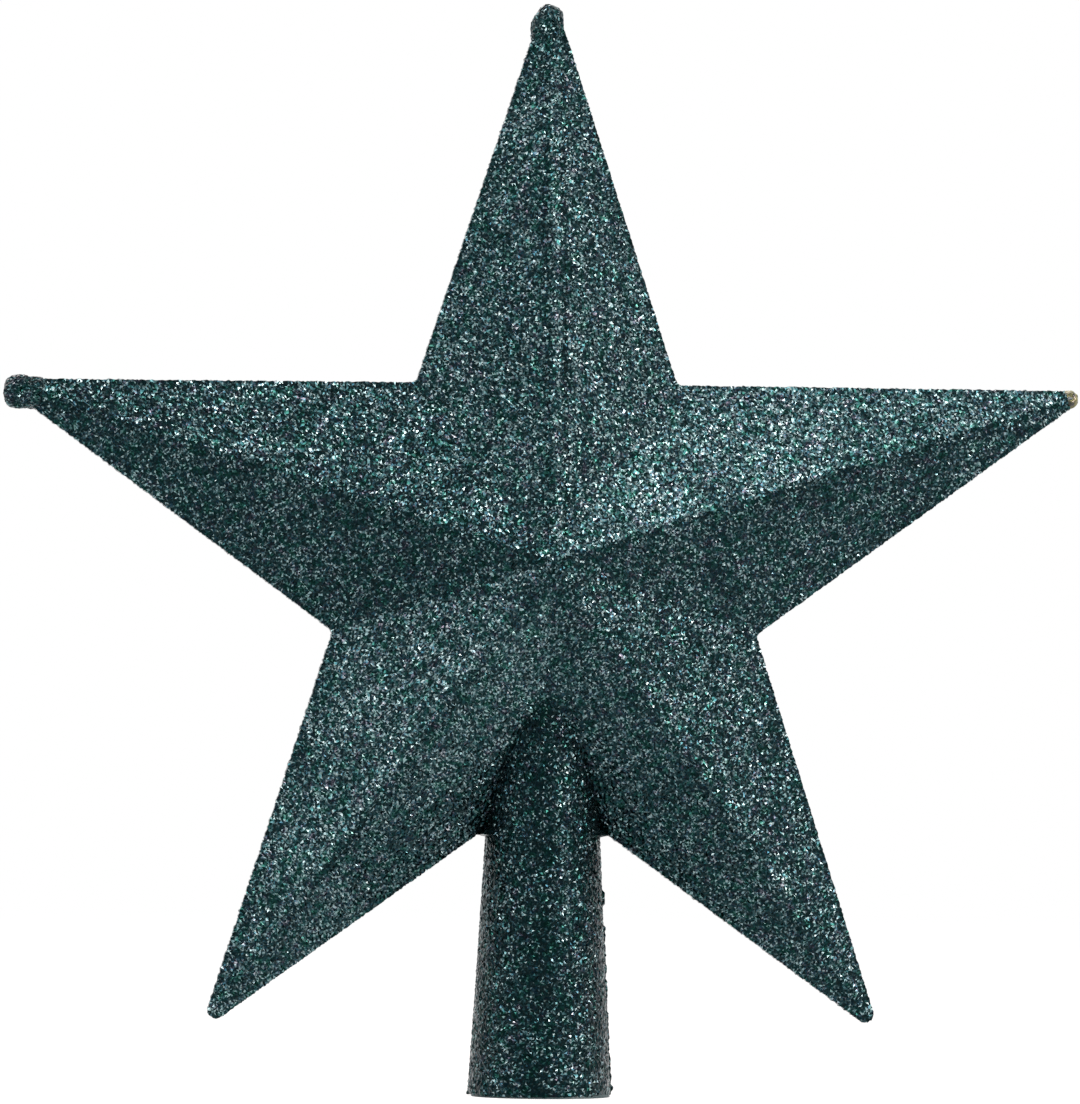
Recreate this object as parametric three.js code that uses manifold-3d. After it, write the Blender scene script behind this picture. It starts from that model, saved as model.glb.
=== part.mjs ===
// Five-pointed star for the top of a Christmas tree, with a tapered socket for the tree's leader.
// Two moulded half shells meet on a lipped parting line, a coat of adhesive and glitter covers
// both, and three tips carry a bead of the adhesive.
//
// Millimetres, +Z up. The front faces -Y, the parting plane is y = 0, and the origin is the
// centre of the stem's open mouth.

import * as THREE from "three";
import { mergeVertices } from "three/addons/utils/BufferGeometryUtils.js";
import Module from "manifold-3d";

// Star, measured on the bare moulding
const armCount = 5;
const starCentreHeight = 92.2;
const tipRadius = 99.4;
const notchRadius = 38.2;
const apexHeight = 19.4;
const rimLand = 0.9;
const tipRounding = 1.1;
const notchFillet = 1.6;

// Stem, which is also the socket for the leader
const mouthRadius = 12.0;
const stemTaper = 0.0595;

// Shell walls, and the lip that locates the halves
const shellWall = 1.4;
const toolCorner = 0.3;
const weldLine = 0.1;
const lipThickness = 0.6;
const lipHeight = 0.6;
const lipClearance = 0.1;

// Locating pins, one in each arm
const pinCircleRadius = 60;
const pinRadius = 1.2;
const pinLength = 2.6;
const pinClearance = 0.1;
const bossWall = 1.3;

// Coat of adhesive and glitter
const coatThickness = 0.35;
const bondGap = 0.15;
const bareMouthEdge = 0.3;

// Beads of adhesive. Each sits on an arm, whose number counts clockwise from the top one. It
// covers the moulded tip by its cover, lies off the arm's middle by its shift, and leans from
// the arm's direction.
const topBead = {
  arm: 0,
  cover: 0.6,
  shift: -0.1,
  radius: 3.05,
  length: 8.0,
  corner: 2.2,
  lean: THREE.MathUtils.degToRad(4),
};
const leftBead = {
  arm: 4,
  cover: 1.6,
  shift: -0.5,
  radius: 3.15,
  length: 7.2,
  corner: 1.7,
  lean: THREE.MathUtils.degToRad(-12),
};
const rightBead = {
  arm: 1,
  cover: 0.85,
  shift: 0,
  radius: 1.65,
  length: 3.6,
  corner: 1.5,
  lean: 0,
};

// Steps round the curves
const cornerSteps = 6;
const stemSteps = 64;
const smallRoundSteps = 24;

// How far a cutting shape runs past what it cuts, and the depth left at its thinnest edge
const overcut = 1;
const thinEdge = 0.05;

const wasm = await Module();
wasm.setup();

// Angles and slopes of the star's facets
const armStep = (2 * Math.PI) / armCount;
const edgeLength = Math.sqrt(
  tipRadius ** 2 + notchRadius ** 2 - 2 * tipRadius * notchRadius * Math.cos(armStep / 2)
);
const edgeDistance = (tipRadius * notchRadius * Math.sin(armStep / 2)) / edgeLength;
const facetSlope = Math.atan((apexHeight - rimLand) / edgeDistance);

// Distance from the star's centre to the end of a rounded tip
const tipReach = tipRadius - tipRounding * (tipRadius / edgeDistance - 1);

// A closed solid from a three.js geometry
function solidFrom(geometry) {
  const bare = geometry.clone();
  bare.deleteAttribute("normal");
  bare.deleteAttribute("uv");
  const merged = mergeVertices(bare, 1e-5);
  const mesh = new wasm.Mesh({
    numProp: 3,
    vertProperties: new Float32Array(merged.attributes.position.array),
    triVerts: new Uint32Array(merged.index.array),
  });
  return new wasm.Manifold(mesh);
}

// A named mesh from a solid
function pieceFrom(name, solid, material) {
  const mesh = solid.getMesh();
  const geometry = new THREE.BufferGeometry();
  geometry.setAttribute("position", new THREE.BufferAttribute(mesh.vertProperties, 3));
  geometry.setIndex(new THREE.BufferAttribute(mesh.triVerts, 1));
  geometry.computeVertexNormals();
  const piece = new THREE.Mesh(geometry, material);
  piece.name = name;
  return piece;
}

// Direction of an arm or notch in the XZ plane, clockwise from straight up
function starDirection(angle) {
  return new THREE.Vector2(Math.sin(angle), Math.cos(angle));
}

// The star's sharp outline about its centre, with its straight edges moved out by an offset
function sharpOutline(offset) {
  const growth = (edgeDistance + offset) / edgeDistance;
  const corners = [];
  for (let arm = 0; arm < armCount; arm += 1) {
    corners.push(starDirection(arm * armStep).multiplyScalar(tipRadius * growth));
    corners.push(starDirection((arm + 0.5) * armStep).multiplyScalar(notchRadius * growth));
  }
  return corners;
}

// A closed shape through the corners, with an arc at each
function roundedShape(corners, radii) {
  const shape = new THREE.Shape();
  corners.forEach((corner, index) => {
    const before = corners[(index + corners.length - 1) % corners.length];
    const after = corners[(index + 1) % corners.length];
    const toBefore = before.clone().sub(corner).normalize();
    const toAfter = after.clone().sub(corner).normalize();
    const halfAngle = Math.acos(toBefore.dot(toAfter)) / 2;
    const inward = toBefore.clone().add(toAfter).normalize();
    const centre = inward.multiplyScalar(radii[index] / Math.sin(halfAngle)).add(corner);
    const reach = radii[index] / Math.tan(halfAngle);
    const start = toBefore.multiplyScalar(reach).add(corner);
    const end = toAfter.clone().multiplyScalar(reach).add(corner);
    const startAngle = start.clone().sub(centre).angle();
    const endAngle = end.clone().sub(centre).angle();
    const clockwise = toAfter.cross(before.clone().sub(corner)) > 0;
    shape.absarc(centre.x, centre.y, radii[index], startAngle, endAngle, !clockwise);
  });
  shape.closePath();
  return shape;
}

// The star's outline as a straight-sided block between two depths
function starBlock(offset, depthFrom, depthTo) {
  const tip = Math.max(tipRounding + offset, toolCorner);
  const notch = Math.max(notchFillet - offset, toolCorner);
  const radii = Array.from({ length: 2 * armCount }, (_, index) => (index % 2 ? notch : tip));
  const shape = roundedShape(sharpOutline(offset), radii);
  const block = new THREE.ExtrudeGeometry(shape, {
    depth: depthTo - depthFrom,
    bevelEnabled: false,
    curveSegments: cornerSteps,
  });
  block.rotateX(Math.PI / 2);
  block.translate(0, depthTo, starCentreHeight);
  return solidFrom(block);
}

// The ten facets in front and the ten behind, run on past the rim so that the outline can be
// cut from them with its corners rounded
function facetedBody(offset) {
  const land = rimLand + (offset * (1 - Math.sin(facetSlope))) / Math.cos(facetSlope);
  const apex = apexHeight + offset / Math.cos(facetSlope);
  const runOn = (land - thinEdge) / Math.tan(facetSlope);
  const outline = sharpOutline(offset + runOn);
  const positions = [0, -apex, 0, 0, apex, 0];
  for (const corner of outline) {
    positions.push(corner.x, -thinEdge, corner.y);
    positions.push(corner.x, thinEdge, corner.y);
  }
  const indices = [];
  for (let index = 0; index < outline.length; index += 1) {
    const front = 2 + 2 * index;
    const rear = front + 1;
    const nextFront = 2 + 2 * ((index + 1) % outline.length);
    const nextRear = nextFront + 1;
    indices.push(0, nextFront, front);
    indices.push(1, rear, nextRear);
    indices.push(front, nextFront, rear);
    indices.push(nextFront, nextRear, rear);
  }
  const geometry = new THREE.BufferGeometry();
  geometry.setAttribute("position", new THREE.Float32BufferAttribute(positions, 3));
  geometry.setIndex(indices);
  geometry.translate(0, 0, starCentreHeight);
  return solidFrom(geometry);
}

function starBody(offset) {
  const depth = (apexHeight + Math.abs(offset)) / Math.cos(facetSlope) + overcut;
  return facetedBody(offset).intersect(starBlock(offset, -depth, depth));
}

// Height up to which the stem runs, where the valley between the lower arms has buried it
const stemTop =
  starCentreHeight - (notchRadius * (apexHeight - mouthRadius)) / (apexHeight - rimLand);

function stemRadius(height) {
  return mouthRadius - stemTaper * height;
}

function stemCone(offset, from) {
  const profile = [
    new THREE.Vector2(0, from),
    new THREE.Vector2(stemRadius(from) + offset, from),
    new THREE.Vector2(stemRadius(stemTop) + offset, stemTop),
    new THREE.Vector2(0, stemTop),
  ];
  const cone = new THREE.LatheGeometry(profile, stemSteps);
  cone.rotateX(Math.PI / 2);
  return solidFrom(cone);
}

// The stem's side view as a block between two depths
function stemBlock(offset, from, depthFrom, depthTo) {
  const shape = new THREE.Shape();
  shape.moveTo(-stemRadius(from) - offset, from);
  shape.lineTo(stemRadius(from) + offset, from);
  shape.lineTo(stemRadius(stemTop) + offset, stemTop);
  shape.lineTo(-stemRadius(stemTop) - offset, stemTop);
  shape.closePath();
  const block = new THREE.ExtrudeGeometry(shape, { depth: depthTo - depthFrom, bevelEnabled: false });
  block.rotateX(Math.PI / 2);
  block.translate(0, depthTo, 0);
  return solidFrom(block);
}

// Star and stem together, offset from the moulding's outside
function body(offset, from = 0) {
  return starBody(offset).add(stemCone(offset, from));
}

function sideView(offset, from, depthFrom, depthTo) {
  const star = starBlock(offset, depthFrom, depthTo);
  return star.add(stemBlock(offset, from, depthFrom, depthTo));
}

// Everything in front of a depth, or behind it
function frontOf(depth) {
  return halfSpace().translate([0, depth, 0]);
}

function behind(depth) {
  return halfSpace().mirror([0, 1, 0]).translate([0, depth, 0]);
}

function halfSpace() {
  const reach = 4 * (starCentreHeight + tipRadius);
  const block = new THREE.BoxGeometry(reach, reach, reach);
  block.translate(0, -reach / 2, 0);
  return solidFrom(block);
}

// A round post along Y in every arm
function postInEachArm(radius, depthFrom, depthTo) {
  const posts = [];
  for (let arm = 0; arm < armCount; arm += 1) {
    const place = starDirection(arm * armStep).multiplyScalar(pinCircleRadius);
    const post = new THREE.CylinderGeometry(radius, radius, depthTo - depthFrom, smallRoundSteps);
    post.translate(place.x, (depthFrom + depthTo) / 2, starCentreHeight + place.y);
    posts.push(solidFrom(post));
  }
  return posts.reduce((all, post) => all.add(post));
}

const moulding = body(0);
const hollow = body(-shellWall, -overcut);
const bossRadius = pinRadius + pinClearance + bossWall;
const halfWeld = weldLine / 2;

// The front half holds the lip and the pins, both rooted in its wall and bosses
function frontShell() {
  const wall = moulding.subtract(hollow);
  const bosses = postInEachArm(bossRadius, -apexHeight, 0).intersect(moulding);
  const half = wall.add(bosses).intersect(frontOf(-halfWeld));
  const root = halfWeld + lipHeight / 2;
  const lipOutside = sideView(lipThickness - shellWall, 0, -root, lipHeight);
  const lipInside = sideView(-shellWall, -overcut, -root - overcut, lipHeight + overcut);
  const lip = lipOutside.subtract(lipInside);
  const pins = postInEachArm(pinRadius, -halfWeld - pinRadius, pinLength);
  return half.add(lip).add(pins);
}

// The rear half holds the rebate for the lip and the sockets for the pins
function rearShell() {
  const wall = moulding.subtract(hollow);
  const bosses = postInEachArm(bossRadius, 0, apexHeight).intersect(moulding);
  const rebateOffset = lipThickness + lipClearance - shellWall;
  const rebate = sideView(rebateOffset, -overcut, -overcut, lipHeight + lipClearance);
  const sockets = postInEachArm(pinRadius + pinClearance, -overcut, pinLength + pinClearance);
  return wall.subtract(rebate).add(bosses).subtract(sockets).intersect(behind(halfWeld));
}

// Distance from the star's centre to the middle of a bead
function beadDistance(bead) {
  return tipReach + bead.cover - bead.length / 2;
}

// A bead is a pebble turned about its own axis, then laid on its arm
function beadSolid(bead, offset) {
  const radius = bead.radius + offset;
  const half = bead.length / 2 + offset;
  const corner = bead.corner + offset;
  const profile = [new THREE.Vector2(0, -half)];
  for (let step = 0; step <= cornerSteps; step += 1) {
    const angle = (step / cornerSteps - 1) * (Math.PI / 2);
    const x = radius - corner + corner * Math.cos(angle);
    profile.push(new THREE.Vector2(x, corner - half + corner * Math.sin(angle)));
  }
  for (let step = 0; step <= cornerSteps; step += 1) {
    const angle = (step / cornerSteps) * (Math.PI / 2);
    const x = radius - corner + corner * Math.cos(angle);
    profile.push(new THREE.Vector2(x, half - corner + corner * Math.sin(angle)));
  }
  profile.push(new THREE.Vector2(0, half));
  const pebble = new THREE.LatheGeometry(profile, smallRoundSteps);
  pebble.rotateX(Math.PI / 2);
  const armAngle = bead.arm * armStep;
  const along = starDirection(armAngle).multiplyScalar(beadDistance(bead));
  const place = starDirection(armAngle + Math.PI / 2).multiplyScalar(bead.shift).add(along);
  pebble.rotateY(armAngle + bead.lean);
  pebble.translate(place.x, 0, starCentreHeight + place.y);
  return solidFrom(pebble);
}

const undercoat = body(bondGap, -overcut);

function beadOnTip(bead) {
  return beadSolid(bead, 0).subtract(undercoat);
}

// The end of a bead's arm, from the bead's middle outwards
function armEnd(bead) {
  const reach = tipRadius;
  const block = new THREE.BoxGeometry(reach, reach, reach);
  block.translate(0, 0, beadDistance(bead) + reach / 2);
  block.rotateY(bead.arm * armStep);
  block.translate(0, 0, starCentreHeight);
  return solidFrom(block);
}

// The coat stops short of the mouth's edge and at each bead
function glitterCoat() {
  let coat = body(bondGap + coatThickness, bareMouthEdge).subtract(undercoat);
  for (const bead of [topBead, leftBead, rightBead]) {
    coat = coat.subtract(beadSolid(bead, bondGap)).subtract(armEnd(bead));
  }
  return coat;
}

// Materials
const mouldedPlastic = new THREE.MeshStandardMaterial({
  color: 0x0f3338,
  roughness: 0.5,
  metalness: 0,
});
const tealGlitter = new THREE.MeshStandardMaterial({
  color: 0x1d4a4f,
  roughness: 0.35,
  metalness: 0.6,
});
const driedAdhesive = new THREE.MeshStandardMaterial({
  color: 0x8f8a52,
  roughness: 0.15,
  metalness: 0,
});

const group = new THREE.Group();
group.add(pieceFrom("front_shell", frontShell(), mouldedPlastic));
group.add(pieceFrom("rear_shell", rearShell(), mouldedPlastic.clone()));
group.add(pieceFrom("glitter_coat", glitterCoat(), tealGlitter));
group.add(pieceFrom("top_tip_bead", beadOnTip(topBead), tealGlitter.clone()));
group.add(pieceFrom("left_tip_bead", beadOnTip(leftBead), tealGlitter.clone()));
group.add(pieceFrom("right_tip_bead", beadOnTip(rightBead), driedAdhesive));

export default group;
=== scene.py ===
"""A five-pointed star for the top of a Christmas tree, coated in dark teal glitter.

Metres, +Z up. The front faces -Y, and the origin is the middle of the stem's open mouth.
"""

import math
from typing import NamedTuple

import bmesh
import bpy
import numpy as np
from bpy.props import FloatProperty, FloatVectorProperty, IntProperty, PointerProperty
from mathutils import Matrix, Vector, noise


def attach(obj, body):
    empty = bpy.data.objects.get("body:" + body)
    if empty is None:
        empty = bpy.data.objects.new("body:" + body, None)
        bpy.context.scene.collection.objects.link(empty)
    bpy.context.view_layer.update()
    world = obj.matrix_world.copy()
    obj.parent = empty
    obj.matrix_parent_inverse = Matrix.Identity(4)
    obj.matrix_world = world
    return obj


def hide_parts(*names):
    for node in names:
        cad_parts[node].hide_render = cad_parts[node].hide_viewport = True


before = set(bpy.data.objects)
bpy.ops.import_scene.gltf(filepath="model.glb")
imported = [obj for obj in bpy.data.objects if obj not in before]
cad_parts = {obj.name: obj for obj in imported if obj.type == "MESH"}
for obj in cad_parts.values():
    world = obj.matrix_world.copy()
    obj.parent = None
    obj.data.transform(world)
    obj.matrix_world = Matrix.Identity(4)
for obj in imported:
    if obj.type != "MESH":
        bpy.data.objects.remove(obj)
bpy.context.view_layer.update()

bl_info = {
    "name": "Glitter star tree topper",
    "version": (1, 0, 0),
    "blender": (4, 5, 0),
    "location": "3D View > Sidebar > Star topper",
    "description": "Builds the glitter coat, the adhesive beads and the stage of a star topper",
    "category": "Add Mesh",
}

ARMS = 5
ARM_STEP = 2 * math.pi / ARMS
TOP_ARM, RIGHT_ARM, LEFT_ARM = 0, 1, 4


class Facet(NamedTuple):
    """How light or dark one facet of the star is painted: painted light and shade that stand in for
    how the light falls on it.
    """

    share: float  # painted light or shade over the whole facet, for how the light falls on it, where 1 is even
    crest: float = 0.0  # painted highlight on the crest beside the ridge, as a share
    bare: float = 0.0  # painted shade beside the ridge, as a share
    ridge_shade_place: float = 0.0
    ridge_shade_width: float = 0.001
    rim: float = 0.0  # painted shade at the star's rim, as a share
    rim_width: float = 0.001


# The painted light and shade of each facet, by its arm, counted clockwise from the top one, and by
# its side of the arm's ridge, which is 1 clockwise from it
FACETS = {
    (0, 1): Facet(1.18, crest=0.35, bare=0.5, ridge_shade_place=0.0024, ridge_shade_width=0.0005, rim=0.25),
    (0, -1): Facet(1.0, bare=0.32, ridge_shade_place=0.0006, ridge_shade_width=0.0009, rim=0.1, rim_width=0.0005),
    (1, -1): Facet(1.28, crest=0.15),
    (1, 1): Facet(0.88, bare=0.2, ridge_shade_place=0.0004, ridge_shade_width=0.0006),
    (2, -1): Facet(0.96, rim=0.3, rim_width=0.0012),
    (2, 1): Facet(1.0, bare=0.2, ridge_shade_place=0.0007, ridge_shade_width=0.0006),
    (3, -1): Facet(1.46, bare=0.42, ridge_shade_place=0.0008),
    (3, 1): Facet(1.3, rim=0.42, rim_width=0.003),
    (4, -1): Facet(0.78, bare=0.25, ridge_shade_place=0.0004, ridge_shade_width=0.0006),
    (4, 1): Facet(0.67, rim=0.1, rim_width=0.0005),
}
# The painted highlight on the crest: its place off the ridge and its width
CREST_PLACE, CREST_WIDTH = 0.0009, 0.0005
PATCHES_PER_METRE = 160
# Painted shade in the crease where the stem meets the star: its depth and width
STAR_CREASE_SHADE, STAR_CREASE_WIDTH = 0.65, 0.0018

# Painted streaks down the stem: a darker one left of the middle, a painted dark reflection, and a
# lighter one to the right, a painted highlight. Each is the place as a share of the radius to the
# right, the width and the gain
PAINTED_STREAKS = ((-0.13, 0.2, -0.2), (0.35, 0.14, 0.25))
# How light the stem's flakes are as a whole, darker than the star's
STEM_SHARE = 0.53
# Painted shade in the crease on the stem below the star: its depth and width
STEM_CREASE_SHADE, STEM_CREASE_WIDTH = 0.62, 0.0034

# How the cells that become flakes lie out of line, as shares of their pitch or in metres
JITTER = 0.3
WAVE, RIPPLE = 0.0009, 0.00022
RIM_MARGIN = 0.15
BURIED = 1.6
ARM_HALF_WIDTH = 0.02


def length(name, description, default):
    """A property that holds a length in metres."""
    return FloatProperty(name=name, description=description, default=default, min=0, unit="LENGTH")


def colour(name, description, default):
    """A property that holds a linear colour."""
    return FloatVectorProperty(
        name=name, description=description, default=default, subtype="COLOR", size=3, min=0, max=1
    )


def power(name, description, default):
    """A property that holds a lamp's power."""
    return FloatProperty(name=name, description=description, default=default, min=0, unit="POWER")


class StarSizes(bpy.types.PropertyGroup):
    """The star, measured on the bare moulding."""

    centre_height: length("Centre height", "Height of the star's centre", 0.0922)
    tip_radius: length("Tip radius", "From the centre to a sharp tip", 0.0994)
    notch_radius: length("Notch radius", "From the centre to a sharp notch", 0.0382)
    apex_height: length("Apex height", "From the parting plane to the middle of a face", 0.0194)
    rim_land: length("Rim land", "Height of the rim above the parting plane", 0.0009)
    tip_rounding: length("Tip rounding", "Radius of a tip seen from the front", 0.0011)
    notch_fillet: length("Notch fillet", "Radius of a notch seen from the front", 0.0016)
    ridge_rounding: length("Ridge rounding", "Width over which a ridge is rounded", 0.0007)
    valley_fill: length("Valley fill", "Width over which the adhesive fills a valley", 0.0016)


class StemSizes(bpy.types.PropertyGroup):
    """The tapered stem below the star."""

    mouth_radius: length("Mouth radius", "Outside radius at the open mouth", 0.012)
    taper: FloatProperty(
        name="Taper", description="Loss of radius for each metre of height", default=0.0595, min=0
    )
    run: length("Run", "Height at which the stem is lost inside the star", 0.0765)
    bare_edge: length("Bare edge", "Height of the plastic that shows below the coat", 0.0003)
    flash_height: length("Flash height", "How far the parting line stands out", 0.00055)
    flash_run: length("Flash run", "Height up to which the parting line stands out", 0.0295)
    foot_round: length("Foot rounding", "Height over which the coat thins to the mouth", 0.0016)
    spur: length("Spur", "Size of the spurs of glitter at the foot", 0.0009)
    swell: length("Swell", "How much thicker the coat is below the star", 0.0002)
    web: length("Web", "Height down to which adhesive fills the corners below the star", 0.0452)
    lean: length("Lean", "How far the foot of the coat lies to the left", 0.0003)


class FlakeSizes(bpy.types.PropertyGroup):
    """The glitter flakes."""

    pitch: length("Pitch", "Spacing of the flakes", 0.000355)
    lift: length("Lift", "Height of the flakes above the bare moulding", 0.00039)
    tilt: length("Tilt", "How far a flake's corners stand up or lie down", 0.00012)
    ragged: length("Ragged edge", "How far the outline's flakes stand out", 0.0001)
    seed: IntProperty(name="Seed", description="Starts the scatter of the flakes", default=7)


class GlitterLook(bpy.types.PropertyGroup):
    """Colours of the glitter, from flakes in painted shade to flakes with a painted flash."""

    shade: colour("Shade", "Flakes turned away and adhesive between them", (0.0038, 0.0095, 0.0105))
    body: colour("Body", "The middle of the flakes", (0.015, 0.036, 0.0398))
    light: colour("Light", "Flakes that catch the light", (0.1, 0.162, 0.171))
    flash: colour("Flash", "The few flakes that flash", (0.245, 0.352, 0.364))
    metal: FloatProperty(name="Metal", description="How metallic the flakes are", default=0.88)


class AdhesiveLook(bpy.types.PropertyGroup):
    """Colours of the dried adhesive, the pale one partly a painted highlight."""

    pale_highlit: colour("Thin", "Adhesive where it is thin", (0.17, 0.18, 0.07))
    thick: colour("Thick", "Adhesive where it is thick", (0.011, 0.017, 0.009))


class PlasticLook(bpy.types.PropertyGroup):
    """Colours of the bare moulded plastic."""

    body: colour("Body", "Plastic seen inside the mouth", (0.018, 0.048, 0.054))
    scuff: colour("Scuff", "Plastic where it is scuffed", (0.04, 0.095, 0.103))


class StageLook(bpy.types.PropertyGroup):
    """Lamps and surroundings."""

    overhead: power("Overhead", "Power of the near lamp above the right arm", 0.68)
    left: power("Left", "Power of the lamp on the left", 2.03)
    right: power("Right", "Power of the lamp on the right", 3.45)
    behind: power("Behind", "Power of the lamp behind", 4)
    fill: FloatProperty(name="Fill", description="Strength of light from all round", default=0.6)


class Signal:
    """A node's output that takes part in shader maths."""

    def __init__(self, finish, socket):
        self.finish = finish
        self.socket = socket

    def maths(self, operation, *values):
        made = self.finish.node("ShaderNodeMath", {"operation": operation}, dict(enumerate(values)))
        return made.out()

    def __add__(self, other):
        return self.maths("ADD", self, other)

    def __sub__(self, other):
        return self.maths("SUBTRACT", self, other)

    def __rsub__(self, other):
        return self.maths("SUBTRACT", other, self)

    def __mul__(self, other):
        return self.maths("MULTIPLY", self, other)

    __radd__ = __add__
    __rmul__ = __mul__


class Made:
    """A node that was just made."""

    def __init__(self, finish, node):
        self.finish = finish
        self.node = node

    def out(self, name=0):
        return Signal(self.finish, self.node.outputs[name])


class Finish:
    """The node tree of a material or of the world."""

    def __init__(self, owner):
        owner.use_nodes = True
        self.tree = owner.node_tree
        self.tree.nodes.clear()

    def node(self, kind, settings=None, sockets=None):
        """Adds a node, sets it up, then feeds its sockets with values or links."""
        made = self.tree.nodes.new(kind)
        for name, value in (settings or {}).items():
            if name == "stops":
                self.set_stops(made.color_ramp, value)
            elif name == "ramp_interpolation":
                made.color_ramp.interpolation = value
            else:
                setattr(made, name, value)
        for name, value in (sockets or {}).items():
            if isinstance(value, Signal):
                self.tree.links.new(value.socket, made.inputs[name])
            else:
                made.inputs[name].default_value = value
        return Made(self, made)

    def noise(self, place, scale, **more):
        """Soft noise from 0 to 1, with so many lumps to the metre."""
        sockets = {"Vector": place, "Scale": scale, "Detail": 2.0, **more}
        return self.node("ShaderNodeTexNoise", {}, sockets).out("Fac")

    def ramp(self, level, stops, **settings):
        """The colour that a ramp gives at a level."""
        settings["stops"] = stops
        return self.node("ShaderNodeValToRGB", settings, {"Fac": level}).out("Color")

    def principled(self, sockets):
        """Ends a material with the main surface shader."""
        shader = self.node("ShaderNodeBsdfPrincipled", {}, sockets)
        self.node("ShaderNodeOutputMaterial", {}, {"Surface": shader.out()})

    @staticmethod
    def set_stops(ramp, stops):
        while len(ramp.elements) < len(stops):
            ramp.elements.new(1)
        for element, (place, shade) in zip(ramp.elements, stops):
            element.position = place
            element.color = (*shade, 1)


def new_finish(name):
    material = bpy.data.materials.new(name)
    return material, Finish(material)


def smooth_high(a, b, width):
    """The higher of two values, rounded where they meet."""
    return (a + b + np.sqrt((a - b) ** 2 + width**2)) / 2


def smooth_low(a, b, width):
    """The lower of two values, rounded where they meet."""
    return (a + b - np.sqrt((a - b) ** 2 + width**2)) / 2


class StarForm:
    """The star's surface at a distance off the bare moulding."""

    def __init__(self, sizes, lift):
        tip, notch = sizes.tip_radius, sizes.notch_radius
        half = ARM_STEP / 2
        edge = math.sqrt(tip**2 + notch**2 - 2 * tip * notch * math.cos(half))
        bare_distance = tip * notch * math.sin(half) / edge
        slope = math.atan((sizes.apex_height - sizes.rim_land) / bare_distance)
        self.rise = math.tan(slope)
        self.edge_distance = bare_distance + lift
        self.edge_angle = math.acos(bare_distance / tip)
        self.growth = self.edge_distance / bare_distance
        self.tip, self.notch = tip * self.growth, notch * self.growth
        self.land = sizes.rim_land + lift * (1 - math.sin(slope)) / math.cos(slope)
        self.apex = sizes.apex_height + lift / math.cos(slope)
        self.tip_arc = sizes.tip_rounding + lift
        self.notch_arc = sizes.notch_fillet - lift
        self.centre = sizes.centre_height
        self.ridge_width = sizes.ridge_rounding
        self.valley_width = sizes.valley_fill

    def polar(self, x, z):
        """Distance from the centre, turn from the nearest arm, and that arm's number."""
        up = z - self.centre
        turn = np.arctan2(x, up)
        arm = np.round(turn / ARM_STEP)
        return np.hypot(x, up), np.abs(turn - arm * ARM_STEP), arm.astype(int) % ARMS

    def inside(self, x, z):
        """Distance in from the outline, which is below 0 outside it."""
        radius, turn, _ = self.polar(x, z)
        along, across = radius * np.cos(turn), radius * np.sin(turn)
        edge = self.edge_distance - radius * np.cos(self.edge_angle - turn)
        tip_middle = self.tip * (1 - self.tip_arc / self.edge_distance)
        past_tip = np.arctan2(across, along - tip_middle) < self.edge_angle
        round_tip = self.tip_arc - np.hypot(along - tip_middle, across)
        half = ARM_STEP / 2
        notch_along = radius * np.cos(half - turn)
        notch_across = radius * np.sin(half - turn)
        notch_middle = self.notch * (1 + self.notch_arc / self.edge_distance)
        spread = self.edge_angle - half
        in_notch = np.arctan2(notch_across, notch_middle - notch_along) < spread
        round_notch = np.hypot(notch_along - notch_middle, notch_across) - self.notch_arc
        edge = np.where(in_notch, round_notch, edge)
        return np.where(past_tip, round_tip, edge)

    def height(self, x, z):
        """Height of the surface above the parting plane."""
        radius, turn, _ = self.polar(x, z)
        own = radius * np.cos(self.edge_angle - turn)
        partner = radius * np.cos(self.edge_angle + turn)
        neighbour = radius * np.cos(self.edge_angle - (ARM_STEP - turn))
        drop = smooth_high(own, partner, self.ridge_width)
        valley = self.valley_width * np.clip(radius / self.notch, 0, 1) ** 2
        drop = smooth_low(drop, np.maximum(neighbour, own), valley)
        return self.land + (self.edge_distance - drop) * self.rise

    def outwards(self, x, z):
        """Direction straight out of the outline."""
        step = 1e-6
        middle = self.inside(x, z)
        gx = (middle - self.inside(x + step, z)) / step
        gz = (middle - self.inside(x, z + step)) / step
        size = np.maximum(np.hypot(gx, gz), 1e-9)
        return gx / size, gz / size


def stem_radius(stem, z, lift):
    return stem.mouth_radius + lift - stem.taper * z


def cut_away(bm, verts):
    """Deletes vertices, and then those that no face holds any more."""
    bmesh.ops.delete(bm, geom=verts, context="VERTS")
    lone = [vert for vert in bm.verts if not vert.link_faces]
    bmesh.ops.delete(bm, geom=lone, context="VERTS")


def settle_faces(bm, ring, turn):
    """Puts the faces on a ring of new corners in order of their turn, because an extrusion makes
    them in any order."""
    faces = {face for vert in ring for face in vert.link_faces}
    bm.faces.index_update()
    slots = sorted(face.index for face in faces)
    for slot, face in zip(slots, sorted(faces, key=lambda face: turn(*face.calc_center_median()))):
        face.index = slot
    bm.faces.sort()


def flake_faces(bm, rng):
    """Cuts each cell into two flakes along either diagonal."""
    faces = bm.faces[:]
    pick = rng.random(len(faces)) < 0.5
    cells = [(face, flag) for face, flag in zip(faces, pick) if len(face.verts) == 4]
    for method, wanted in (("FIXED", True), ("ALTERNATE", False)):
        chosen = [face for face, flag in cells if flag == wanted]
        bmesh.ops.triangulate(bm, faces=chosen, quad_method=method)


def hump(values, place, width):
    """1 at a place, falling to 0 on either side of it."""
    return np.exp(-(((values - place) / width) ** 2))


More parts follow.
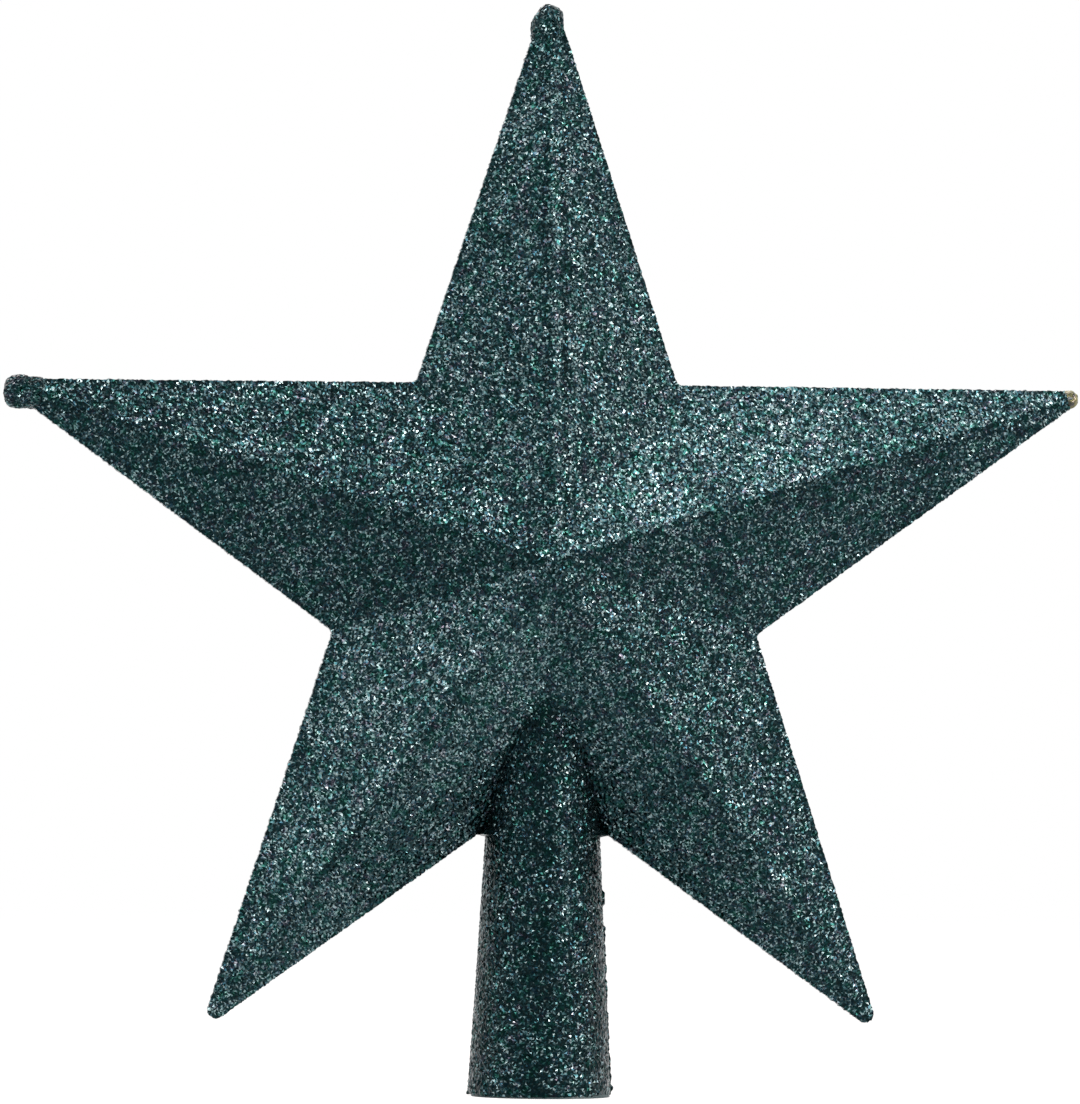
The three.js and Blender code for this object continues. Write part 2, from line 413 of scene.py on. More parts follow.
def star_painted_light(mesh, form, stem, side):
    """How light each face of the star is painted, for light and shade: each facet lighter or darker
    as a whole, with a painted highlight on some crests beside the ridges, and painted shade beside
    the ridges, at the rim and in the crease where the stem comes out."""
    x, y, z = face_centres(mesh).T
    radius, turn, arm = form.polar(x, z)
    angle = np.arctan2(x, z - form.centre)
    clockwise = np.where(angle >= np.round(angle / ARM_STEP) * ARM_STEP, 1, -1)
    off_ridge, inside = radius * np.sin(turn), form.inside(x, z)
    scale = PATCHES_PER_METRE
    patches = np.array([noise.noise((px * scale, pz * scale, side)) for px, pz in zip(x, z)])
    crest = hump(off_ridge, CREST_PLACE, CREST_WIDTH)
    cover = np.ones(len(x))
    # Each facet: its painted light or shade as a whole, a painted highlight on the crest, and
    # painted shade beside the ridge and at the rim
    for (number, way), facet in FACETS.items():
        here = (arm == number) & (clockwise == way)
        bare = (1 + patches) * hump(off_ridge, facet.ridge_shade_place, facet.ridge_shade_width)
        rim = hump(inside, 0, facet.rim_width)
        whole = facet.share * (1 + facet.crest * crest)
        whole = whole * (1 - facet.bare * bare) * (1 - facet.rim * rim)
        cover[here] = whole[here]
    # Painted shade in the crease where the stem comes out
    off_stem = np.maximum(np.hypot(x, y) - stem_radius(stem, z, 0), 0)
    return cover * (1 - STAR_CREASE_SHADE * hump(off_stem, 0, STAR_CREASE_WIDTH) * (z < stem.run))


def stem_painted_light(mesh, form):
    """How light the flakes on the stem are painted: darker as a whole, with a darker streak that is
    a painted dark reflection, a lighter streak that is a painted highlight, and painted shade in
    the crease below the star."""
    x, y, z = face_centres(mesh).T
    aside = x / np.hypot(x, y)
    # Painted streaks: a painted dark reflection and a painted highlight
    cover = STEM_SHARE + sum(gain * hump(aside, place, width) for place, width, gain in PAINTED_STREAKS)
    # Painted shade in the crease below the star
    gap = np.maximum(np.abs(y) - form.height(x, z), 0)
    crease = hump(gap, 0, STEM_CREASE_WIDTH) * (form.inside(x, z) > 0)
    return cover * (1 - STEM_CREASE_SHADE * crease)


def flake_values(mesh, rng, cover):
    """Gives each flake its own value. Where the cover is under 1 more of them take darker colours,
    and where it is over 1 lighter ones; on the star and the stem the cover mostly holds painted
    light and shade.
    """
    values = rng.random(len(mesh.polygons)) ** (1 / cover)
    attribute = mesh.attributes.new("flake", "FLOAT", "FACE")
    attribute.data.foreach_set("value", values.astype(np.float32))


def coordinates(mesh):
    places = np.empty(3 * len(mesh.vertices), np.float32)
    mesh.vertices.foreach_get("co", places)
    return places.reshape(-1, 3)


def face_centres(mesh):
    centres = np.empty(3 * len(mesh.polygons), np.float32)
    mesh.polygons.foreach_get("center", centres)
    return centres.reshape(-1, 3)


def face_of_corner(mesh):
    totals = np.empty(len(mesh.polygons), np.int32)
    mesh.polygons.foreach_get("loop_total", totals)
    return np.repeat(np.arange(len(totals)), totals)


def vertex_of_corner(mesh):
    verts = np.empty(len(mesh.loops), np.int32)
    mesh.loops.foreach_get("vertex_index", verts)
    return verts


def bake_map(mesh, u, v):
    """Keeps a map of the flakes, scaled into the unit square."""
    low = np.array([u.min(), v.min()])
    size = max(np.ptp(u), np.ptp(v))
    places = (np.stack([u, v], 1) - low) / size * 0.98 + 0.01
    layer = mesh.uv_layers.new(name="OFBake")
    layer.data.foreach_set("uv", places.astype(np.float32).ravel())


def finish_mesh(bm, name, material):
    """Turns a bmesh into a piece that rides on the topper."""
    mesh = bpy.data.meshes.new(name)
    bm.to_mesh(mesh)
    bm.free()
    mesh.materials.append(material)
    piece = bpy.data.objects.new(name, mesh)
    bpy.context.scene.collection.objects.link(piece)
    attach(piece, "root")
    return piece


# What a flake's hue multiplies its colour by, for each range of the dice
HUES = [
    (0.0, (0.46, 1.05, 0.82)),
    (0.2, (0.6, 1.02, 1.1)),
    (0.42, (0.94, 1.0, 1.02)),
    (0.63, (1.2, 0.99, 0.9)),
    (0.75, (0.6, 0.95, 1.24)),
    (0.95, (1.55, 0.86, 1.08)),
]


def between(first, second, share):
    """A colour at a share of the way from one to another."""
    return tuple((1 - share) * a + share * b for a, b in zip(first, second))


def glitter_material(look):
    """Teal flakes in clear adhesive, each with a colour, a gloss and a hue of its own. Their
    colours run from a painted shade to a painted flash.
    """
    material, finish = new_finish("teal_glitter")
    flake = finish.node("ShaderNodeAttribute", {"attribute_name": "flake"}).out("Fac")
    spread = flake * 913.7
    chance = finish.node("ShaderNodeTexWhiteNoise", {"noise_dimensions": "1D"}, {"W": spread})
    dice = finish.node("ShaderNodeSeparateColor", {}, {"Color": chance.out("Color")})
    hue_dice, gloss_dice, metal_dice = dice.out(0), dice.out(1), dice.out(2)

    place = finish.node("ShaderNodeTexCoord").out("Object")
    drift = finish.noise(place, 95.0, Detail=3.0, Roughness=0.6)
    cloud = finish.noise(place, 28.0)
    hue_cloud = finish.noise(place, 620.0)
    level = flake + (drift - 0.5) * 0.25 + (cloud - 0.5) * 0.1
    # The flake colours are partly painted: dark ones are painted shade and the brightest are
    # painted flashes, while the lamps add real glints on top
    tone = finish.ramp(
        level,
        [
            (0.0, tuple(look.shade)),
            (0.4, between(look.shade, look.body, 0.45)),
            (0.65, tuple(look.body)),
            (0.82, between(look.body, look.light, 0.38)),
            (0.91, tuple(look.light)),
            (0.98, tuple(look.flash)),
        ],
    )
    hue_level = hue_dice * 0.45 + (hue_cloud - 0.5) * 2.6 + 0.275
    hue = finish.ramp(hue_level, HUES, ramp_interpolation="CONSTANT")
    # A flake's hue fades as its level rises from 0.75 to 0.95, because a painted flash is nearly
    # white
    hue_share = finish.node(
        "ShaderNodeMapRange",
        {},
        {"Value": level, "From Min": 0.75, "From Max": 0.95, "To Min": 1.0, "To Max": 0.25},
    ).out()
    tinted = finish.node(
        "ShaderNodeMix",
        {"data_type": "RGBA", "blend_type": "MULTIPLY"},
        {"Factor": hue_share, 6: tone, 7: hue},
    ).out(2)
    finish.principled({
        "Base Color": tinted,
        "Metallic": metal_dice * 0.2 + (look.metal - 0.1),
        "Roughness": level * level * 0.27 + gloss_dice * 0.08 + 0.05,
        "Specular IOR Level": 0.02,
    })
    return material


def adhesive_material(look):
    """Bare dried adhesive: glossy, yellowish and a little uneven, with pale patches that are partly
    a painted highlight.
    """
    material, finish = new_finish("olive_adhesive")
    place = finish.node("ShaderNodeTexCoord").out("Object")
    cloud, ripple = finish.noise(place, 700.0), finish.noise(place, 1400.0)
    # Pale patches where the noise is high: pale adhesive, partly a painted highlight
    tone = finish.ramp(cloud, [(0.48, tuple(look.thick)), (0.62, tuple(look.pale_highlit))])
    bump = finish.node(
        "ShaderNodeBump", {}, {"Strength": 0.25, "Distance": 0.0002, "Height": ripple}
    ).out("Normal")
    finish.principled(
        {"Base Color": tone, "Roughness": cloud * 0.2 + 0.08, "Normal": bump, "IOR": 1.5}
    )
    return material


def plastic_material(look):
    """Bare moulded plastic with faint flow marks and fine grain."""
    material, finish = new_finish("teal_plastic")
    place = finish.node("ShaderNodeTexCoord").out("Object")
    flow = finish.noise(place, 60.0, Detail=5.0, Distortion=0.8)
    grain = finish.noise(place, 2500.0)
    tone = finish.ramp(flow, [(0.4, tuple(look.body)), (0.75, tuple(look.scuff))])
    bump = finish.node(
        "ShaderNodeBump", {}, {"Strength": 0.3, "Distance": 0.0001, "Height": grain}
    ).out("Normal")
    finish.principled({"Base Color": tone, "Roughness": flow * 0.25 + 0.35, "Normal": bump})
    return material


def wanted_material(name, maker, look):
    return bpy.data.materials.get(name) or maker(look)


def wander(values, wave_length, wave_start, ripple_length, ripple_start):
    """How far a row of cells bends aside, in long waves with short ripples on them."""
    wave = WAVE * np.sin(values / wave_length + wave_start)
    return wave + RIPPLE * np.sin(values / ripple_length + ripple_start)


def flake_grid(form, pitch, rng):
    """Flat cells over the whole star, all of one size and a little out of line."""
    reach = form.tip + pitch
    segments = round(2 * reach / pitch)
    bm = bmesh.new()
    bmesh.ops.create_grid(bm, x_segments=segments, y_segments=segments, size=reach)
    bm.verts.index_update()
    places = np.array([vert.co[:2] for vert in bm.verts])
    x, z = places[:, 0].copy(), places[:, 1] + form.centre
    x += wander(z, 0.0131, 0, 0.0043, 1)
    z += wander(x, 0.0119, 2, 0.0039, 0)
    x += rng.uniform(-JITTER, JITTER, len(x)) * pitch
    z += rng.uniform(-JITTER, JITTER, len(z)) * pitch
    for vert, px, pz in zip(bm.verts, x, z):
        vert.co = (px, 0, pz)
    centres = np.array([face.calc_center_median()[:] for face in bm.faces])
    kept = form.inside(centres[:, 0], centres[:, 2]) > RIM_MARGIN * pitch
    bmesh.ops.delete(bm, geom=[f for f, keep in zip(bm.faces, kept) if not keep], context="FACES")
    return bm


def pull_to_rim(bm, form, ragged, rng):
    """Draws the outermost corners onto the star's outline and leaves it a little ragged."""
    rim = [vert for vert in bm.verts if vert.is_boundary]
    x = np.array([vert.co.x for vert in rim])
    z = np.array([vert.co.z for vert in rim])
    push = rng.uniform(-1, 1, len(rim)) * ragged
    for _ in range(2):
        out_x, out_z = form.outwards(x, z)
        gap = form.inside(x, z)
        x, z = x + out_x * gap, z + out_z * gap
    x, z = x + out_x * push, z + out_z * push
    for vert, px, pz in zip(rim, x, z):
        vert.co = (px, 0, pz)


def raise_cells(bm, form, side, tilt, rng):
    """Lifts the cells onto the facets, each corner a little too high or too low."""
    x = np.array([vert.co.x for vert in bm.verts])
    z = np.array([vert.co.z for vert in bm.verts])
    height = form.height(x, z) + rng.uniform(-1, 1, len(x)) * tilt
    height = np.minimum(height, form.apex + tilt)
    for vert, depth in zip(bm.verts, height):
        vert.co.y = side * depth


def close_rim(bm, form, side, ragged, rng):
    """Carries the cells down the star's rim to the parting plane in two steps, and notes how far
    down each corner lies."""
    run = bm.verts.layers.float.new("rim_run")
    edges = [edge for edge in bm.edges if edge.is_boundary]
    for share in (0.5, 0.0):
        made = bmesh.ops.extrude_edge_only(bm, edges=edges)["geom"]
        edges = [item for item in made if isinstance(item, bmesh.types.BMEdge)]
        ring = [item for item in made if isinstance(item, bmesh.types.BMVert)]
        settle_faces(bm, ring, lambda x, y, z: math.atan2(x, z - form.centre))
        px = np.array([vert.co.x for vert in ring])
        pz = np.array([vert.co.z for vert in ring])
        out_x, out_z = form.outwards(px, pz)
        push = rng.uniform(-JITTER, 1, len(ring)) * ragged
        for index, vert in enumerate(ring):
            depth = abs(vert.co.y)
            vert[run] += depth * (1 - share)
            vert.co.x += out_x[index] * push[index]
            vert.co.z += out_z[index] * push[index]
            vert.co.y = side * depth * share


def star_sheet(scene, side):
    """The flakes on one face of the star, from the parting plane to the apex. The side is -1 in
    front and 1 behind. Both sides share one plan, so that they meet at the rim."""
    flakes, stem = scene.topper_flakes, scene.topper_stem
    form = StarForm(scene.topper_star, flakes.lift)
    plan_rng = np.random.default_rng(flakes.seed)
    rng = np.random.default_rng(flakes.seed + 2 + side)
    bm = flake_grid(form, flakes.pitch, plan_rng)
    pull_to_rim(bm, form, flakes.ragged, plan_rng)
    raise_cells(bm, form, side, flakes.tilt, rng)
    close_rim(bm, form, side, flakes.ragged, plan_rng)

    in_stem = []
    for vert in bm.verts:
        px, py, pz = vert.co
        wall = stem_radius(stem, pz, flakes.lift) - BURIED * flakes.pitch
        if math.hypot(px, py) < wall and pz < stem.run:
            in_stem.append(vert)
    cut_away(bm, in_stem)
    for arm, middle in bead_middles(form, scene):
        cut_away(bm, [vert for vert in bm.verts if past_middle(vert.co, form, arm, middle)])
    flake_faces(bm, rng)
    if side < 0:
        bmesh.ops.reverse_faces(bm, faces=bm.faces)
    return bm, form, rng


def arm_frame(arm):
    """Directions along an arm and across it, in X and Z."""
    turn = arm * ARM_STEP
    return (math.sin(turn), math.cos(turn)), (math.cos(turn), -math.sin(turn))


def past_middle(place, form, arm, middle):
    """Whether a place on an arm lies further out than the middle of the arm's bead."""
    along, across = arm_frame(arm)
    up = place.z - form.centre
    distance = place.x * along[0] + up * along[1]
    aside = place.x * across[0] + up * across[1]
    return distance > middle and abs(aside) < ARM_HALF_WIDTH


def map_star(mesh, form):
    """Lays the ten facets out in five rows, two to a row."""
    corner_face, corner_vert = face_of_corner(mesh), vertex_of_corner(mesh)
    centres = face_centres(mesh)
    places = coordinates(mesh)[corner_vert]
    run = np.empty(len(mesh.vertices), np.float32)
    mesh.attributes["rim_run"].data.foreach_get("value", run)
    run = run[corner_vert]
    turn = np.arctan2(centres[:, 0], centres[:, 2] - form.centre)
    arm = np.round(turn / ARM_STEP)
    right = (turn - arm * ARM_STEP >= 0)[corner_face]
    row = (arm.astype(int) % ARMS)[corner_face]
    angle = (arm * ARM_STEP)[corner_face]
    up = places[:, 2] - form.centre
    along = places[:, 0] * np.sin(angle) + up * np.cos(angle)
    across = places[:, 0] * np.cos(angle) - up * np.sin(angle)
    across = np.where(right, across, -across)
    along = along + run * math.cos(form.edge_angle)
    across = across + run * math.sin(form.edge_angle)
    gap = 0.0015
    row_height = form.notch * math.sin(ARM_STEP / 2) + 2 * gap
    row_width = form.tip + form.notch * math.cos(ARM_STEP / 2) + 8 * gap
    u = np.where(right, along, row_width - along)
    v = np.where(right, across, row_height - gap - across) + row * row_height
    bake_map(mesh, u, v)


# The height of the spur of glitter on each side of the stem's foot
SPURS = ((-1, 0.0006), (1, 0.0013))
FOOT_JITTER = 0.8
FOOT_THINNING = 0.9
PROUD_SHARE = 0.02
FLASH_PITCHES = 1.3
FLASH_LUMPS_PER_METRE = 700
# A nub on the parting line, right of the stem
NUB_HEIGHT, NUB_REACH, NUB_WIDTH, NUB_SIZE = 0.0343, 0.0011, 0.0015, 0.0004
SWELL_RUN, SWELL_START = 0.025, 0.8
# The web lies beside the stem, and its foot is flat
WEB_SHARPNESS, WEB_START, WEB_GROWTH, WEB_SIZE = 5, 3.8, 1.7, 0.0001
LEAN_RUN = 0.04
FOLD_REACH = 0.0003


def stem_tube(stem, flakes):
    """Cells of even size up the stem, and the edges round its foot."""
    pitch = flakes.pitch
    low, high = stem.bare_edge, stem.run
    mid_radius = stem_radius(stem, (low + high) / 2, flakes.lift)
    bm = bmesh.new()
    bmesh.ops.create_cone(
        bm,
        cap_ends=False,
        segments=round(2 * math.pi * mid_radius / pitch),
        radius1=stem_radius(stem, low, flakes.lift),
        radius2=stem_radius(stem, high, flakes.lift),
        depth=high - low,
        matrix=Matrix.Translation((0, 0, (low + high) / 2)),
    )
    upright = [edge for edge in bm.edges if abs(edge.verts[0].co.z - edge.verts[1].co.z) > pitch]
    rings = round((high - low) / pitch)
    bmesh.ops.subdivide_edges(bm, edges=upright, cuts=rings - 1)
    foot = [edge for edge in bm.edges if edge.is_boundary and edge.verts[0].co.z < low + pitch]
    return bm, foot


def stem_place(place, stem, flakes, form, rng):
    """Where a corner of the stem's cells ends up: out of line, low at the foot, and standing out
    at the spurs, the parting line and the web below the star."""
    px, py, pz = place
    pitch = flakes.pitch
    turn = math.atan2(px, -py)
    radius = math.hypot(px, py)
    at_foot = pz < stem.bare_edge + pitch / 2
    turn += rng.uniform(-JITTER, JITTER) * pitch / radius
    pz += rng.uniform(-JITTER, JITTER) * pitch * (FOOT_JITTER if at_foot else 1)
    radius += rng.uniform(-1, 1) * flakes.tilt
    radius -= max(0, 1 - pz / stem.foot_round) ** 2 * flakes.lift * FOOT_THINNING
    for side, height in SPURS:
        near = 1 - math.hypot(py, pz - height) / stem.spur
        if side * px > 0 and near > 0:
            radius += stem.spur * near * rng.random()
    if rng.random() < PROUD_SHARE:
        radius += rng.random() * flakes.ragged
    if px > 0 and pz < stem.flash_run:
        flash = max(0, 1 - abs(py) / (FLASH_PITCHES * pitch)) * stem.flash_height
        radius += flash * (0.75 + 0.5 * noise.noise((0, 0, pz * FLASH_LUMPS_PER_METRE)))
    if px > 0 and abs(py) < NUB_WIDTH and abs(pz - NUB_HEIGHT) < NUB_REACH:
        radius += NUB_SIZE
    radius += stem.swell * min(1, max(0, pz / SWELL_RUN - SWELL_START))
    off_star = -float(form.inside(math.copysign(radius, px), pz))
    if pz > stem.web and off_star > 0:
        aside = min(1, max(0, abs(math.sin(turn)) * WEB_SHARPNESS - WEB_START))
        radius += aside * (WEB_GROWTH * off_star + WEB_SIZE)
    lean = stem.lean * max(0, 1 - pz / LEAN_RUN)
    return radius * math.sin(turn) - lean, -radius * math.cos(turn), pz


def stem_sheet(scene):
    """The flakes on the stem, from the mouth's edge up into the star."""
    flakes, stem = scene.topper_flakes, scene.topper_stem
    form = StarForm(scene.topper_star, flakes.lift)
    rng = np.random.default_rng(flakes.seed + 11)
    bm, foot = stem_tube(stem, flakes)
    for vert in bm.verts:
        vert.co = stem_place(vert.co, stem, flakes, form, rng)
    made = bmesh.ops.extrude_edge_only(bm, edges=foot)["geom"]
    ring = [item for item in made if isinstance(item, bmesh.types.BMVert)]
    settle_faces(bm, ring, lambda x, y, z: math.atan2(x, y))
    for vert in ring:
        inner = stem_radius(stem, stem.bare_edge, 0) / math.hypot(vert.co.x, vert.co.y)
        vert.co.x *= inner
        vert.co.y *= inner
    x, y, z = np.array([vert.co[:] for vert in bm.verts]).T
    depth = BURIED * flakes.pitch
    buried = (form.height(x, z) - np.abs(y) > depth) & (form.inside(x, z) > depth)
    cut_away(bm, [vert for vert, flag in zip(bm.verts, buried) if flag])
    flake_faces(bm, rng)
    bmesh.ops.recalc_face_normals(bm, faces=bm.faces)
    return bm, form, rng


def map_stem(mesh, stem):
    """Unrolls the stem."""
    centres = face_centres(mesh)[face_of_corner(mesh)]
    places = coordinates(mesh)[vertex_of_corner(mesh)]
    middle = np.arctan2(centres[:, 0], -centres[:, 1])
    turn = np.arctan2(places[:, 0], -places[:, 1])
    turn = middle + (turn - middle + math.pi) % (2 * math.pi) - math.pi
    fold = stem_radius(stem, places[:, 2], 0) - np.hypot(places[:, 0], places[:, 1])
    fold = np.maximum(fold + FOLD_REACH, 0) * (places[:, 2] < 2 * stem.bare_edge)
    v = places[:, 2] - fold
    bake_map(mesh, turn * stem.mouth_radius, v)


# Each bead of adhesive: its arm and the solid it replaces, how far it covers the moulded tip, how
# far it lies off the arm's middle, its radius, length and lean, how square its ends are, and how
# far past its middle the arm's flakes reach
BEADS = {
    "glitter_top_bead": {
        "arm": TOP_ARM, "node": "top_tip_bead", "cover": 0.0006, "shift": -0.0003,
        "radius": 0.0031, "length": 0.0096, "lean": math.radians(4), "square": 2.2,
        "tuck": 0.0011,
    },
    "glitter_left_bead": {
        "arm": LEFT_ARM, "node": "left_tip_bead", "cover": 0.00155, "shift": -0.0005,
        "radius": 0.0032, "length": 0.0071, "lean": math.radians(-12), "square": 4.2,
        "tuck": 0.0008,
    },
    "bare_right_bead": {
        "arm": RIGHT_ARM, "node": "right_tip_bead", "cover": 0.00085, "shift": 0.0,
        "radius": 0.00165, "length": 0.0036, "lean": 0.0, "square": 2.3,
        "tuck": -0.0002,
    },
}


# Lumps over a bead, and how far apart the beads lie in their noise
BEAD_LUMPS, BEAD_STEP = 1.7, 7.3
BEAD_TILT = (-1.4, 0.6)
BEAD_SHARE = 0.85


def bead_distance(form, bead, sizes):
    """From the star's centre to the middle of a bead."""
    bare_tip, rounding = sizes.tip_radius, sizes.tip_rounding
    reach = bare_tip - rounding * (1 / math.cos(form.edge_angle) - 1)
    return reach + bead["cover"] - bead["length"] / 2


def bead_middles(form, scene):
    """How far out the flakes of each beaded arm reach."""
    return [
        (bead["arm"], bead_distance(form, bead, scene.topper_star) + bead["tuck"])
        for bead in BEADS.values()
    ]


def bead_shape(scene, bead, cuts, scatter, lumps):
    """A pebble laid on its arm's tip, in cells of even size that lie a little out of line."""
    form = StarForm(scene.topper_star, 0)
    rng = np.random.default_rng(scene.topper_flakes.seed + 20 + bead["arm"])
    bm = bmesh.new()
    bmesh.ops.create_cube(bm, size=2)
    bmesh.ops.subdivide_edges(bm, edges=bm.edges, cuts=cuts, use_grid_fill=True)
    half, wide, square = bead["length"] / 2, bead["radius"], bead["square"]
    for vert in bm.verts:
        cell = Vector([math.tan(part * math.pi / 4) for part in vert.co])
        out = (cell + Vector(rng.uniform(-1, 1, 3)) * scatter).normalized()
        flat = math.hypot(out.x, out.y)
        size = ((flat / wide) ** square + (abs(out.z) / half) ** square) ** (-1 / square)
        lump = noise.noise(out * BEAD_LUMPS + Vector((bead["arm"] * BEAD_STEP, 0, 0))) * lumps
        vert.co = out * (size - lumps / 2 + lump)
    distance = bead_distance(form, bead, scene.topper_star)
    along, across = arm_frame(bead["arm"])
    middle = Vector((
        along[0] * distance + across[0] * bead["shift"],
        0,
        form.centre + along[1] * distance + across[1] * bead["shift"],
    ))
    turn = Matrix.Rotation(bead["arm"] * ARM_STEP + bead["lean"], 4, "Y")
    bmesh.ops.transform(bm, matrix=Matrix.Translation(middle) @ turn, verts=bm.verts)
    bm.normal_update()
    return bm, rng


class TOPPER_OT_glitter_faces(bpy.types.Operator):
    """Builds the flakes on the star's front and rear"""

    bl_idname = "topper.glitter_faces"
    bl_label = "Glitter faces"

    def execute(self, context):
        scene = context.scene
        material = wanted_material("teal_glitter", glitter_material, scene.topper_glitter)
        for name, side in (("glitter_front", -1), ("glitter_rear", 1)):
            bm, form, rng = star_sheet(scene, side)
            piece = finish_mesh(bm, name, material)
            # The cover holds each face's painted light and shade
            cover = star_painted_light(piece.data, form, scene.topper_stem, side)
            flake_values(piece.data, rng, cover)
            map_star(piece.data, form)
            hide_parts("glitter_coat")
        return {"FINISHED"}


class TOPPER_OT_glitter_stem(bpy.types.Operator):
    """Builds the flakes on the stem"""

    bl_idname = "topper.glitter_stem"
    bl_label = "Glitter stem"

    def execute(self, context):
        scene = context.scene
        material = wanted_material("teal_glitter", glitter_material, scene.topper_glitter)
        bm, form, rng = stem_sheet(scene)
        piece = finish_mesh(bm, "glitter_stem", material)
        flake_values(piece.data, rng, stem_painted_light(piece.data, form))
        map_stem(piece.data, scene.topper_stem)
        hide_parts("glitter_coat")
        return {"FINISHED"}


class TOPPER_OT_glitter_beads(bpy.types.Operator):
    """Builds the glittered beads of adhesive on the top and left tips"""

    bl_idname = "topper.glitter_beads"
    bl_label = "Glitter beads"

    def execute(self, context):
        scene = context.scene
        flakes = scene.topper_flakes
        material = wanted_material("teal_glitter", glitter_material, scene.topper_glitter)
        for name in ("glitter_top_bead", "glitter_left_bead"):
            bead = BEADS[name]
            bm, rng = bead_shape(scene, bead, cuts=14, scatter=0.035, lumps=0.0005)
            for vert in bm.verts:
                vert.co += vert.normal * float(rng.uniform(*BEAD_TILT)) * flakes.tilt
            flake_faces(bm, rng)
            piece = finish_mesh(bm, name, material)
            flake_values(piece.data, rng, BEAD_SHARE)
            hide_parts(bead["node"])
        return {"FINISHED"}


class TOPPER_OT_bare_bead(bpy.types.Operator):
    """Builds the bare bead of dried adhesive on the right tip"""

    bl_idname = "topper.bare_bead"
    bl_label = "Bare bead"

    def execute(self, context):
        scene = context.scene
        material = wanted_material("olive_adhesive", adhesive_material, scene.topper_adhesive)
        bead = BEADS["bare_right_bead"]
        bm, _ = bead_shape(scene, bead, cuts=30, scatter=0, lumps=0.0003)
        for face in bm.faces:
            face.smooth = True
        piece = finish_mesh(bm, "bare_right_bead", material)
        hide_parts(bead["node"])
        return {"FINISHED"}


class TOPPER_OT_shell_finish(bpy.types.Operator):
    """Finishes the two moulded halves"""

    bl_idname = "topper.shell_finish"
    bl_label = "Shell finish"

    def execute(self, context):
        material = wanted_material("teal_plastic", plastic_material, context.scene.topper_plastic)
        for name in ("front_shell", "rear_shell"):
            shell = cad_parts[name]
            shell.data.materials.clear()
            shell.data.materials.append(material)
        return {"FINISHED"}


# Each lamp's place and aim from the star's centre, its size, the angle that it lights and its tint
LAMPS = {
    "overhead": {
        "place": (0.16, -0.2, 0.46), "aim": (0.135, 0, 0.02), "size": (0.5, 0.5), "spread": 36,
        "tint": (1, 0.8, 0.76),
    },
    "left": {
        "place": (-0.75, -0.38, 0.22), "aim": (0, 0, 0), "size": (0.18, 0.18), "spread": 180,
        "tint": (1, 0.79, 0.75),
    },
    "right": {
        "place": (0.65, -0.42, 0.09), "aim": (0, 0, 0), "size": (0.16, 0.16), "spread": 180,
        "tint": (1, 0.76, 0.71),
    },
    "behind": {
        "place": (-0.25, 0.85, 0.75), "aim": (0, 0, 0), "size": (0.8, 0.6), "spread": 180,
        "tint": (1, 0.82, 0.79),
    },
}
# The photo's view: angles in degrees, the distance from the star's centre, the lens in millimetres
# and its shift as a share of the picture's width
AZIMUTH, ELEVATION, ROLL = -4.285, -1.341, 0.498
DISTANCE = 1.4088
LENS, SENSOR = 270.6, 36
SHIFT = (-0.0046, 0.0114)
CLIP = (0.05, 30)

FLOOR_RADIUS = 4
FLOOR_SHADE, FLOOR_GLOW = 0.25, 0.86
FLOOR_FADE = (0.4, 1.6)
WHITE = (1, 1, 1, 1)


def add_lamp(name, settings, centre, energy):
    lamp = bpy.data.lights.new(name, "AREA")
    lamp.shape = "RECTANGLE"
    lamp.size, lamp.size_y = settings["size"]
    lamp.spread = math.radians(settings["spread"])
    lamp.energy = energy
    lamp.color = settings["tint"]
    place, aim = centre + Vector(settings["place"]), centre + Vector(settings["aim"])
    holder = bpy.data.objects.new(name, lamp)
    holder.location = place
    holder.rotation_euler = (aim - place).to_track_quat("-Z", "Y").to_euler()
    bpy.context.scene.collection.objects.link(holder)


def seen_rays(finish):
    """1 for what the camera, a reflection or clear stuff shows, and 0 for soft light."""
    path = finish.node("ShaderNodeLightPath")
    seen = path.out("Is Camera Ray")
    for kind in ("Is Glossy Ray", "Is Transmission Ray"):
        seen = seen.maths("MAXIMUM", seen, path.out(kind))
    return seen


def floor_material():
    """A white floor that keeps a soft shadow and fades into the white surroundings. It is clear
    from below."""
    material, finish = new_finish("white_floor")
    place = finish.node("ShaderNodeTexCoord").out("Object")
    reach = finish.node("ShaderNodeVectorMath", {"operation": "LENGTH"}, {0: place}).out("Value")
    near, far = FLOOR_FADE
    fade = finish.node(
        "ShaderNodeMapRange", {}, {"Value": reach, "From Min": near, "From Max": far}
    ).out()
    lit = finish.node("ShaderNodeBsdfDiffuse", {}, {"Color": (*[FLOOR_SHADE] * 3, 1)})
    seen = seen_rays(finish)
    glow = finish.node("ShaderNodeEmission", {}, {"Color": WHITE, "Strength": seen * FLOOR_GLOW})
    both = finish.node("ShaderNodeAddShader", {}, {0: lit.out(), 1: glow.out()})
    white = finish.node("ShaderNodeEmission", {}, {"Color": WHITE, "Strength": seen})
    top = finish.node("ShaderNodeMixShader", {}, {0: fade, 1: both.out(), 2: white.out()})
    under = finish.node("ShaderNodeNewGeometry").out("Backfacing")
    clear = finish.node("ShaderNodeBsdfTransparent")
    ends = finish.node("ShaderNodeMixShader", {}, {0: under, 1: top.out(), 2: clear.out()})
    finish.node("ShaderNodeOutputMaterial", {}, {"Surface": ends.out()})
    return material


def add_floor(scene):
    bm = bmesh.new()
    bmesh.ops.create_circle(bm, cap_ends=True, segments=96, radius=FLOOR_RADIUS)
    mesh = bpy.data.meshes.new("floor")
    bm.to_mesh(mesh)
    bm.free()
    mesh.materials.append(floor_material())
    floor = bpy.data.objects.new("floor", mesh)
    scene.collection.objects.link(floor)


